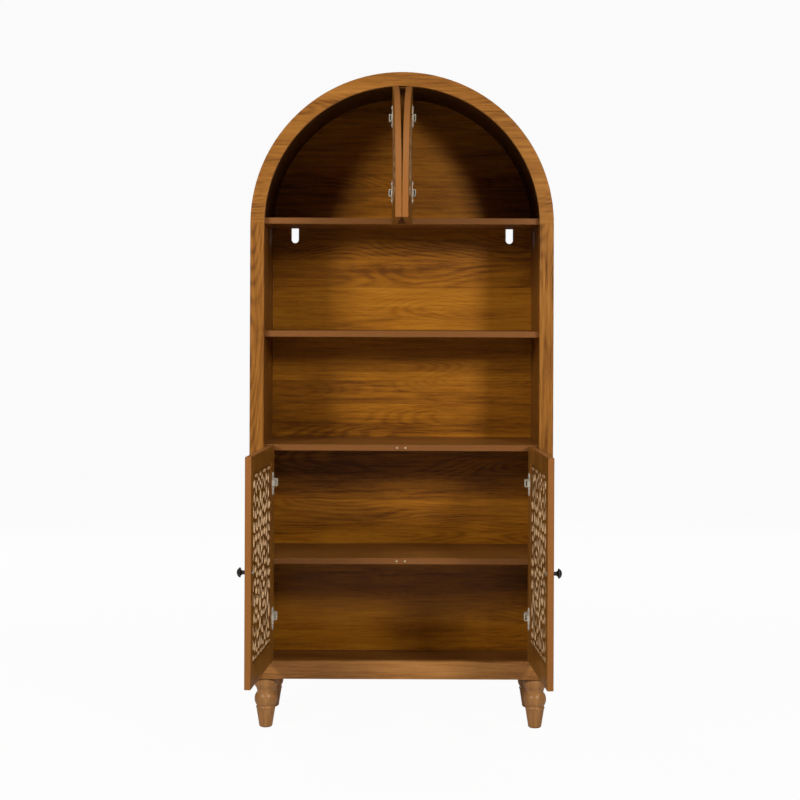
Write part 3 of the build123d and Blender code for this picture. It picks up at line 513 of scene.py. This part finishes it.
@dataclass(frozen=True)
class Laminate(Finish):
    """Printed walnut laminate.

    Attributes:
        grain: which way it runs.
        tones: its colours.
        shift: moves the grain, so that no two boards match.
        seams: heights of the plank joints printed on it.
        lined: strength of the dark growth lines.
        streaked: strength of the fine streaks.
        cloudy: strength of the broad light and dark places.
        feel: its gloss.
        edging: the board's edges, where they look different from its faces.
    """

    grain: Grain
    tones: Tones = BODY_TONES
    shift: float = 0.0
    seams: tuple[float, ...] = ()
    lined: float = 0.20
    streaked: float = 0.85
    cloudy: float = 0.55
    feel: Feel = PRINTED
    edging: Edging | None = None

    def planks(self, graph: Graph, across: Wire) -> tuple[Wire | float, Wire | float]:
        """Tell the printed planks apart.

        Args:
            graph: the nodes to add to.
            across: distance across the grain.

        Returns:
            A seed that changes from plank to plank, and one on the joints between them.
        """
        seed: Wire | float = self.shift
        joint: Wire | float = 0.0
        first, growth = FIGURE.plank_seed
        for number, height in enumerate(self.seams):
            seed = seed + (across > height) * (first + growth * number)
            joint = joint + (1.0 - graph.step(abs(across - height), *FIGURE.joint))
        return seed, joint

    def value(self, graph: Graph, axes: Axes, seed: Wire | float, streak: Wire,
              fibre: Wire) -> Wire:
        """Mix the layers of the grain into one value.

        Args:
            graph: the nodes to add to.
            axes: distances along the grain, across it and into the board.
            seed: what moves the grain.
            streak: the fine streaks.
            fibre: the fibres.

        Returns:
            A value that is low in the late wood and high in the early wood.
        """
        bend = FIGURE.bends.on(graph, axes, seed)
        wave = (bend * FIGURE.bend_turn + axes[1] * FIGURE.line_turn).sine() * 0.5 + 0.5
        patch = FIGURE.patches.on(graph, axes, seed)
        cloud = FIGURE.clouds.on(graph, axes, seed)
        plank = FIGURE.planks.on(graph, EVEN, seed)  # one value all over a plank
        own = FIGURE.plank_strength if self.seams else FIGURE.board_strength
        return (0.5 + (plank - 0.5) * own + (cloud - 0.5) * self.cloudy
                + (streak - 0.5) * self.streaked + (fibre - 0.5) * FIGURE.fibre_strength
                - wave ** FIGURE.line_power * graph.step(patch, *FIGURE.patch_range) * self.lined)

    def paint(self, graph: Graph) -> None:
        """Add the nodes of the print, its joints, its pores and the edges.

        Args:
            graph: the nodes to add to.
        """
        axes = self.grain.axes(graph)
        seed, joint = self.planks(graph, axes[1])
        streak = FIGURE.streaks.on(graph, axes, seed)
        fibre = FIGURE.fibres.on(graph, axes, seed)
        tones = (self.tones.dark, self.tones.mid, self.tones.light)
        tone = graph.ramp(self.value(graph, axes, seed, streak, fibre), *zip(FIGURE.stops, tones))
        if self.seams:
            tone = graph.blend(joint.clamped() * FIGURE.joint_strength, tone, self.tones.dark)
        pores = graph.step(fibre, *FIGURE.pore_fibre) * graph.step(streak, *FIGURE.pore_streak)
        tone = graph.blend(pores * FIGURE.pore_strength, tone, self.tones.dark)
        rough = self.feel.rough(streak, pores)
        fibrous, ridged, pitted = FIGURE.relief
        height = fibre * fibrous + streak * ridged - pores * pitted
        if self.edging is not None:
            tone, rough, height = self.edging.over(graph, axes, tone, rough, height)
        graph.surface(tone, rough, height, self.feel)


@dataclass(frozen=True)
class TurnedWood(Finish):
    """Lacquered turned wood, with grain that runs up the leg.

    Attributes:
        centre: x and y of the leg's middle line.
        dark: its darker tone.
        light: its lighter tone.
        grain: noise of the grain.
        fibre: noise of the fibres.
        share: how much of each goes into the tone.
        stops: places of the two tones.
        foot_span: heights at which the darkening at the bottom of the foot begins and is full.
        foot_darkening: how dark the bottom of the foot is.
        feel: its gloss.
    """

    centre: tuple[float, float]
    dark: RGB = (0.325, 0.144, 0.043)
    light: RGB = (0.500, 0.234, 0.075)
    grain: Mottle = Mottle((110.0, 110.0, 7.0), detail=3.0, rough=0.55, warp=0.2)
    fibre: Mottle = Mottle((600.0, 600.0, 30.0), rough=0.6)
    share: tuple[float, float] = (0.7, 0.3)
    stops: tuple[float, float] = (0.34, 0.66)
    foot_span: tuple[float, float] = (0.008, 0.001)
    foot_darkening: float = 0.30
    feel: Feel = Feel(0.30, (0.12,), 0.00005, coat=0.08, shine=0.30)

    def paint(self, graph: Graph) -> None:
        """Add the nodes of the grain and the darker bottom of the foot.

        Args:
            graph: the nodes to add to.
        """
        x, y, z = graph.place()
        axes = (x - self.centre[0], y - self.centre[1], z)
        grain, fibre = self.grain.on(graph, axes), self.fibre.on(graph, axes)
        tone = graph.ramp(grain * self.share[0] + fibre * self.share[1],
                          *zip(self.stops, (self.dark, self.light)))
        # Darkens the bottom few millimetres of the foot towards a deeper tone.
        tone = graph.blend(graph.step(z, *self.foot_span) * self.foot_darkening, tone, shade(self.dark, 0.5))
        graph.surface(tone, self.feel.rough(grain), fibre, self.feel)


@dataclass(frozen=True)
class RawWood(Finish):
    """Unfinished softwood and chipboard that is shut inside the cabinet.

    Attributes:
        light: its lighter tone.
        dark: share of that left in the darker tone.
        grain: noise of the grain.
        feel: its gloss.
    """

    light: RGB = (0.52, 0.36, 0.20)
    dark: float = 0.6
    grain: Mottle = Mottle((90.0, 90.0, 4.0), detail=4.0, rough=0.6, warp=0.5)
    feel: Feel = Feel(0.75, (0.1,), 0.0002)

    def paint(self, graph: Graph) -> None:
        """Add the nodes of the grain.

        Args:
            graph: the nodes to add to.
        """
        grain = self.grain.on(graph, graph.place())
        tone = graph.blend(grain, shade(self.light, self.dark), self.light)
        graph.surface(tone, self.feel.rough(grain), grain, self.feel)


@dataclass(frozen=True)
class Steel(Finish):
    """Satin plated steel, lightly brushed and handled.

    Attributes:
        clean: its tone where nobody touched it.
        dull: share of that left in the smudges.
        brush: noise of the brushing.
        smudge: noise of the smudges.
        feel: its gloss.
    """

    clean: RGB = (0.95, 0.89, 0.74)
    dull: float = 0.82
    brush: Mottle = Mottle((1040.0, 260.0, 1560.0), detail=3.0)
    smudge: Mottle = Mottle(EVEN, 90.0, rough=0.6)
    feel: Feel = Feel(0.30, (0.12, 0.10), 0.00003, metallic=0.10)

    def paint(self, graph: Graph) -> None:
        """Add the nodes of the brushing and the smudges.

        Args:
            graph: the nodes to add to.
        """
        axes = graph.place()
        brush, smudge = self.brush.on(graph, axes), self.smudge.on(graph, axes)
        tone = graph.blend(smudge, shade(self.clean, self.dull), self.clean)
        graph.surface(tone, self.feel.rough(brush, smudge), brush, self.feel)


@dataclass(frozen=True)
class Zinc(Steel):
    """Duller zinc of screws and bolts.

    Attributes:
        clean: its tone where nobody touched it.
        feel: its gloss.
    """

    clean: RGB = (0.50, 0.50, 0.50)
    feel: Feel = Feel(0.34, (0.12, 0.10), 0.00003, metallic=0.10)


@dataclass(frozen=True)
class BlackLacquer(Finish):
    """Satin black lacquer over cast metal.

    Attributes:
        clean: its tone.
        dusty: its tone under dust.
        peel: noise of the lacquer's skin.
        dust: noise of the dust.
        feel: its gloss.
    """

    clean: RGB = (0.006, 0.006, 0.007)
    dusty: RGB = (0.020, 0.019, 0.018)
    peel: Mottle = Mottle(EVEN, 900.0)
    dust: Mottle = Mottle(EVEN, 140.0, 3.0, 0.6)
    feel: Feel = Feel(0.24, (0.16,), 0.00005, coat=0.25)

    def paint(self, graph: Graph) -> None:
        """Add the nodes of the lacquer's skin and the dust.

        Args:
            graph: the nodes to add to.
        """
        axes = graph.place()
        peel, dust = self.peel.on(graph, axes), self.dust.on(graph, axes)
        tone = graph.blend(dust, self.clean, self.dusty)
        graph.surface(tone, self.feel.rough(dust), peel, self.feel)


@dataclass(frozen=True)
class ClearPad(Finish):
    """Soft cloudy resin of the bumper pads.

    Attributes:
        dark: its darker tone.
        light: its lighter tone.
        cloud: noise of the clouds.
        feel: its gloss.
    """

    dark: RGB = (0.52, 0.37, 0.20)
    light: RGB = (0.72, 0.56, 0.36)
    cloud: Mottle = Mottle(EVEN, 700.0)
    feel: Feel = Feel(0.20, (0.15,), 0.00006, coat=0.3)

    def paint(self, graph: Graph) -> None:
        """Add the nodes of the clouds.

        Args:
            graph: the nodes to add to.
        """
        cloud = self.cloud.on(graph, graph.place())
        tone = graph.blend(cloud, self.dark, self.light)
        graph.surface(tone, self.feel.rough(cloud), cloud, self.feel)


@dataclass(frozen=True)
class Paper(Finish):
    """Matt white paper, which may shine by itself.

    Attributes:
        white: how pale it is.
        glow: how brightly it shines.
        rough: its roughness.
    """

    white: float
    glow: float = 0.0
    rough: float = 0.9

    def paint(self, graph: Graph) -> None:
        """Add the nodes of the plain sheet.

        Args:
            graph: the nodes to add to.
        """
        shader = graph.node("BsdfPrincipled", None, {
            "Base Color": opaque(shade(WHITE, self.white)), "Roughness": self.rough,
            "Specular IOR Level": 0.0, "Emission Color": opaque(WHITE),
            "Emission Strength": self.glow})
        graph.node("OutputMaterial", None, {0: shader})


# ------------------------------------------------------------------ the cabinet
class Dresser:
    """Gives CAD nodes their finishes, and reports each one."""

    def __init__(self, nodes: dict[str, bpy.types.Object]) -> None:
        """Keep the frame's nodes."""
        self.nodes = nodes
        self.done: set[str] = set()

    def dress(self, finish: Finish, *names: str) -> None:
        """Give every slot of the named nodes one finish.

        Args:
            finish: the finish.
            names: the nodes that take it.
        """
        material = finish.build()
        for name in names:
            part = self.nodes[name]
            if not part.material_slots:
                part.data.materials.append(material)
            for slot in part.material_slots:
                slot.material = material
            self.done.add(name)
            log.info("dressed %s in %s", name, material.name)

    def left_over(self) -> list[str]:
        """Names of the nodes that still wear their packed finish."""
        return sorted(set(self.nodes) - self.done)


@dataclass
class Carcass:
    """The fixed box: frame, boards, skins, rear panels and legs.

    Attributes:
        dresser: gives out the finishes.
        seams: heights of the plank joints on the rear panels.
        shelves: the level boards, from the top down.
        shelf_shift: how far the grain moves from one level board to the next.
        legs: x and y of each leg.
    """

    dresser: Dresser
    seams: tuple[float, ...] = (0.576, 0.781, 0.843, 0.907, 1.170, 1.247, 1.452)
    shelves: tuple[str, ...] = ("arch_shelf", "middle_shelf", "cabinet_top_board",
                                "cabinet_shelf", "base_board")
    shelf_shift: float = 0.83
    legs: dict[str, tuple[float, float]] = field(default_factory=lambda: {
        "front_left_leg": (-0.357, 0.058), "front_right_leg": (0.357, 0.058),
        "rear_left_leg": (-0.357, 0.292), "rear_right_leg": (0.357, 0.292)})

    def dress(self) -> None:
        """Finish every fixed wooden node and what holds the wood together."""
        self.dress_frame()
        self.dress_boards()
        self.dress_rear()
        self.dress_legs()

    def dress_frame(self) -> None:
        """Finish the arch, the stiles and the rail."""
        dress = self.dresser.dress
        # The arch ring's edges take a lighter tone, a painted highlight along its rim.
        dress(Laminate("laminate_arch", Grain.ACROSS, shift=1.3, lined=0.12,
                       edging=Edging(FACES_FRONT, ARCH_EDGE_HIGHLIGHT, 0.2)), "front_arch")
        dress(Laminate("laminate_bent", Grain.ROUND, shift=2.1), "arch_outer_skin")
        # Painted shade: the arch lining wears near-black tones in place of the shadow that falls
        # inside the arch.
        dress(Laminate("laminate_lining_painted_shade", Grain.ROUND, LINING_SHADE_TONES, shift=3.1), "arch_lining")
        dress(Laminate("laminate_left_stile", Grain.UPRIGHT, shift=4.1), "left_stile")
        dress(Laminate("laminate_right_stile", Grain.UPRIGHT, shift=7.7, streaked=1.25),
              "right_stile")
        dress(Laminate("laminate_rail", Grain.ACROSS, RAIL_TONES, shift=2.9), "bottom_rail")

    def dress_boards(self) -> None:
        """Finish the skins, the upright boards and the level boards."""
        dress = self.dresser.dress
        dress(Laminate("laminate_side", Grain.SIDE, shift=3.3), "left_side_skin",
              "right_side_skin", "arch_divider")
        # Painted shade: the inner side boards take darker tones in place of the shade along the
        # side walls.
        dress(Laminate("laminate_inside_painted_shade", Grain.SIDE, INSIDE_SHADE_TONES, shift=6.1),
              "left_side_board", "right_side_board")
        for number, name in enumerate(self.shelves):
            dress(Laminate("laminate_" + name, Grain.SHELF, SHELF_TONES,
                           shift=self.shelf_shift * number, lined=0.10,
                           edging=Edging(FACES_UP, SHELF_EDGE, 0.1)), name)

    def dress_rear(self) -> None:
        """Finish the rear panels and the raw wood between the skins."""
        dress = self.dresser.dress
        dress(Laminate("laminate_rear", Grain.ACROSS, REAR_TONES, shift=5.2, seams=self.seams,
                       lined=0.13, streaked=0.66, cloudy=0.52),
              "lower_back_panel", "arch_back_panel")
        dress(RawWood("raw_wood"), "left_side_battens", "right_side_battens", "arch_formers",
              "board_dowels")

    def dress_legs(self) -> None:
        """Finish the legs, the pads, the bolts and the rear screws."""
        for name, centre in self.legs.items():
            self.dresser.dress(TurnedWood("turned_" + name, centre), name)
        self.dresser.dress(ClearPad("clear_pad"), "door_bumpers")
        self.dresser.dress(Zinc("zinc", (0.52, 0.52, 0.52)), "back_panel_screws", "leg_bolts")


class HingeSide(Enum):
    """Which edge of a leaf its hinges are on; the value is the sense in which it swings open."""

    LEFT = 1
    RIGHT = -1


@dataclass
class Leaf:
    """One door leaf: its pierced board, knob and hinge halves.

    Attributes:
        dresser: gives out the finishes.
        name: front of its nodes' names.
        hinges: which edge they are on.
        swing: how far it stands open, in degrees.
        shift: moves its grain.
        has_knob: whether it has a knob.
        lattice_shift: how far the lattice's grain is moved from the frame's.
    """

    dresser: Dresser
    name: str
    hinges: HingeSide
    swing: float
    shift: float
    has_knob: bool
    lattice_shift: float = 2.7

    def face(self) -> Triple:
        """Normal of the leaf's faces as it stands open."""
        turn = math.radians(-self.hinges.value * self.swing)
        return (-math.sin(turn), math.cos(turn), 0.0)

    def dress(self) -> None:
        """Finish the leaf and what is on it."""
        dress, name, face = self.dresser.dress, self.name, self.face()
        dress(Laminate("laminate_" + name, Grain.SIDE, DOOR_TONES, shift=self.shift, lined=0.10,
                       feel=PRINTED_DULL, edging=Edging(face, DOOR_EDGE, 0.1)),
              name + "_door_frame")
        dress(Laminate("laminate_lattice_" + name, Grain.SIDE, LATTICE_TONES,
                       shift=self.shift + self.lattice_shift, feel=PRINTED_DULL,
                       edging=Edging(face, RAW_CUT, 1.0)),
              name + "_door_lattice")
        dress(Steel("nickel_" + name), name + "_hinge_cups", name + "_hinge_links")
        dress(Zinc("zinc_" + name), name + "_cup_screws")
        if self.has_knob:
            dress(BlackLacquer("black_" + name), name + "_knob")
            dress(Zinc("zinc_knob_" + name), name + "_knob_screw")


@dataclass
class Hinges:
    """The fixed halves of the concealed hinges.

    Attributes:
        dresser: gives out the finishes.
    """

    dresser: Dresser

    def dress(self) -> None:
        """Finish the arms, plates and screws."""
        self.dresser.dress(Steel("nickel_arms"), "upper_hinge_arms", "lower_hinge_arms",
                           "hinge_plates")
        self.dresser.dress(Zinc("zinc_hinges"), "hinge_screws")


# ------------------------------------------------------------------ studio
def stage_sheet(form: bmesh.types.BMesh, paper: Paper) -> bpy.types.Object:
    """Turn a form into a staged object in plain paper.

    Args:
        form: its shape, used up here.
        paper: its finish, which gives it its name too.

    Returns:
        The staged object.
    """
    bmesh.ops.recalc_face_normals(form, faces=form.faces[:])
    mesh = bpy.data.meshes.new(paper.name)
    form.to_mesh(mesh)
    form.free()
    mesh.shade_smooth()
    mesh.materials.append(paper.build())
    sheet = bpy.data.objects.new(paper.name, mesh)
    bpy.context.scene.collection.objects.link(sheet)
    log.info("staged %s", sheet.name)
    return sheet


@dataclass
class Surround:
    """Round floor and wall that are seen and light nothing.

    Attributes:
        reach: radius of the wall.
        height: how tall it is.
        bend: radius of the curve from floor to wall.
        bend_steps: how many flats the curve has.
        turn_steps: how many flats the wall has.
        paper: its finish.
    """

    reach: float = 9.0
    height: float = 8.0
    bend: float = 1.6
    bend_steps: int = 12
    turn_steps: int = 64
    paper: Paper = Paper("surround", 0.04, 0.955)

    def build(self) -> None:
        """Spin the curved line of floor and wall round the cabinet."""
        line = [(0.0, 0.0)]
        for step in range(self.bend_steps + 1):
            turn = math.pi / 2 * step / self.bend_steps
            line.append((self.reach - self.bend * (1.0 - math.sin(turn)),
                         self.bend * (1.0 - math.cos(turn))))
        line.append((self.reach, self.height))
        form = bmesh.new()
        verts = [form.verts.new((x, 0.0, z)) for x, z in line]
        edges = [form.edges.new(pair) for pair in zip(verts, verts[1:])]
        bmesh.ops.spin(form, geom=verts + edges, cent=(0.0, 0.0, 0.0), axis=(0.0, 0.0, 1.0),
                       angle=2.0 * math.pi, steps=self.turn_steps, use_merge=True)
        bmesh.ops.remove_doubles(form, verts=form.verts[:], dist=1e-5)
        sheet = stage_sheet(form, self.paper)
        sheet.visible_diffuse = False
        sheet.visible_glossy = False
        sheet.visible_shadow = False


@dataclass
class BounceFloor:
    """Unseen floor that throws light up.

    Attributes:
        corners: x and y of its corners.
        drop: how far it lies under the feet.
        paper: its finish.
    """

    corners: tuple[tuple[float, float], ...] = ((-1.9, -3.2), (1.9, -3.2), (1.9, 1.0), (-1.9, 1.0))
    drop: float = 0.002
    paper: Paper = Paper("bounce", 0.72)

    def build(self) -> None:
        """Lay the floor."""
        form = bmesh.new()
        form.faces.new([form.verts.new((x, y, -self.drop)) for x, y in self.corners])
        stage_sheet(form, self.paper).visible_camera = False


@dataclass(frozen=True)
class SoftLight:
    """A soft square light.

    Attributes:
        name: what to call it.
        spot: where it stands.
        aim: what it points at.
        size: width of its face.
        power: in watts.
        tint: its colour.
    """

    name: str
    spot: Triple
    aim: Triple
    size: float
    power: float
    tint: RGB = (1.0, 0.98, 0.95)

    def build(self) -> None:
        """Set up the light."""
        lamp = bpy.data.lights.new(self.name, "AREA")
        lamp.shape = "SQUARE"
        lamp.size = self.size
        lamp.energy = self.power
        lamp.color = self.tint
        holder = bpy.data.objects.new(self.name, lamp)
        holder.location = self.spot
        way = Vector(self.aim) - Vector(self.spot)
        holder.rotation_euler = way.to_track_quat("-Z", "Y").to_euler()
        bpy.context.scene.collection.objects.link(holder)
        log.info("hung %s", self.name)


@dataclass
class Camera:
    """The level camera, shifted down and rolled a touch.

    Attributes:
        aside: how far it stands to the right of the cabinet's middle.
        distance: from the front of the frame.
        height: above the floor.
        roll: in degrees.
        sensor: width of its sensor, in millimetres.
        width: width of the picture, in pixels.
        focal: focal length, in the same pixels.
        shift: how far the picture is shifted right and up, in the same pixels.
        reach: how far it sees.
    """

    aside: float = 0.0084
    distance: float = 4.5
    height: float = 1.1174
    roll: float = 0.22
    sensor: float = 36.0
    width: float = 800.0
    focal: float = 1708.7
    shift: tuple[float, float] = (-5.0, -94.0)
    reach: float = 50.0

    def build(self) -> None:
        """Set up the camera and look through it."""
        lens = bpy.data.cameras.new("camera")
        lens.sensor_width = self.sensor
        lens.lens = self.focal / self.width * self.sensor
        lens.shift_x = self.shift[0] / self.width
        lens.shift_y = self.shift[1] / self.width
        lens.clip_end = self.reach
        holder = bpy.data.objects.new("camera", lens)
        roll = Matrix.Rotation(math.radians(self.roll), 3, "Z")
        level = Euler((math.pi / 2, 0.0, 0.0)).to_matrix()
        holder.rotation_euler = (level @ roll).to_euler()
        holder.location = (self.aside, FRONT_Y - self.distance, self.height)
        bpy.context.scene.collection.objects.link(holder)
        bpy.context.scene.camera = holder


@dataclass
class Studio:
    """White surround, floor that throws light up, soft lights and the camera.

    Attributes:
        lights: two in front, one above and two behind.
        air: strength of the even light from all round.
    """

    lights: tuple[SoftLight, ...] = (
        SoftLight("left_light", (-2.05, -2.55, 1.88), (0.0, 0.1, 0.9), 0.80, 55.0),
        SoftLight("right_light", (1.66, -2.70, 1.88), (0.0, 0.1, 0.9), 0.50, 44.0),
        SoftLight("top_light", (0.0, -1.3, 3.3), (0.0, 0.0, 0.7), 1.0, 13.0),
        SoftLight("rear_left_light", (-2.4, 3.6, 2.2), (0.0, 0.3, 0.9), 1.6, 60.0),
        SoftLight("rear_right_light", (2.4, 3.6, 2.2), (0.0, 0.3, 0.9), 1.6, 60.0))
    air: float = 0.036

    def set_air(self) -> None:
        """Set the even light that comes from all round."""
        world = bpy.data.worlds.new("air")
        world.use_nodes = True
        ground = world.node_tree.nodes["Background"]
        ground.inputs["Color"].default_value = opaque(WHITE)
        ground.inputs["Strength"].default_value = self.air
        bpy.context.scene.world = world

    def build(self) -> None:
        """Set up the whole studio."""
        Surround().build()
        BounceFloor().build()
        for light in self.lights:
            light.build()
        self.set_air()
        Camera().build()
        bpy.context.scene.view_settings.view_transform = "Standard"


def main() -> None:
    """Dress the cabinet and light it."""
    logging.basicConfig(level=logging.INFO, format="%(name)s: %(message)s")
    dresser = Dresser(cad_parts)
    Carcass(dresser).dress()
    Hinges(dresser).dress()
    for leaf in (Leaf(dresser, "upper_left", HingeSide.RIGHT, 91.741, 1.1, has_knob=False),
                 Leaf(dresser, "upper_right", HingeSide.LEFT, 91.741, 6.4, has_knob=False),
                 Leaf(dresser, "lower_left", HingeSide.LEFT, 94.5, 2.2, has_knob=True),
                 Leaf(dresser, "lower_right", HingeSide.RIGHT, 93.5, 8.8, has_knob=True)):
        leaf.dress()
    Studio().build()
    for name in dresser.left_over():
        log.warning("%s has no finish", name)


if __name__ == "__main__":
    main()
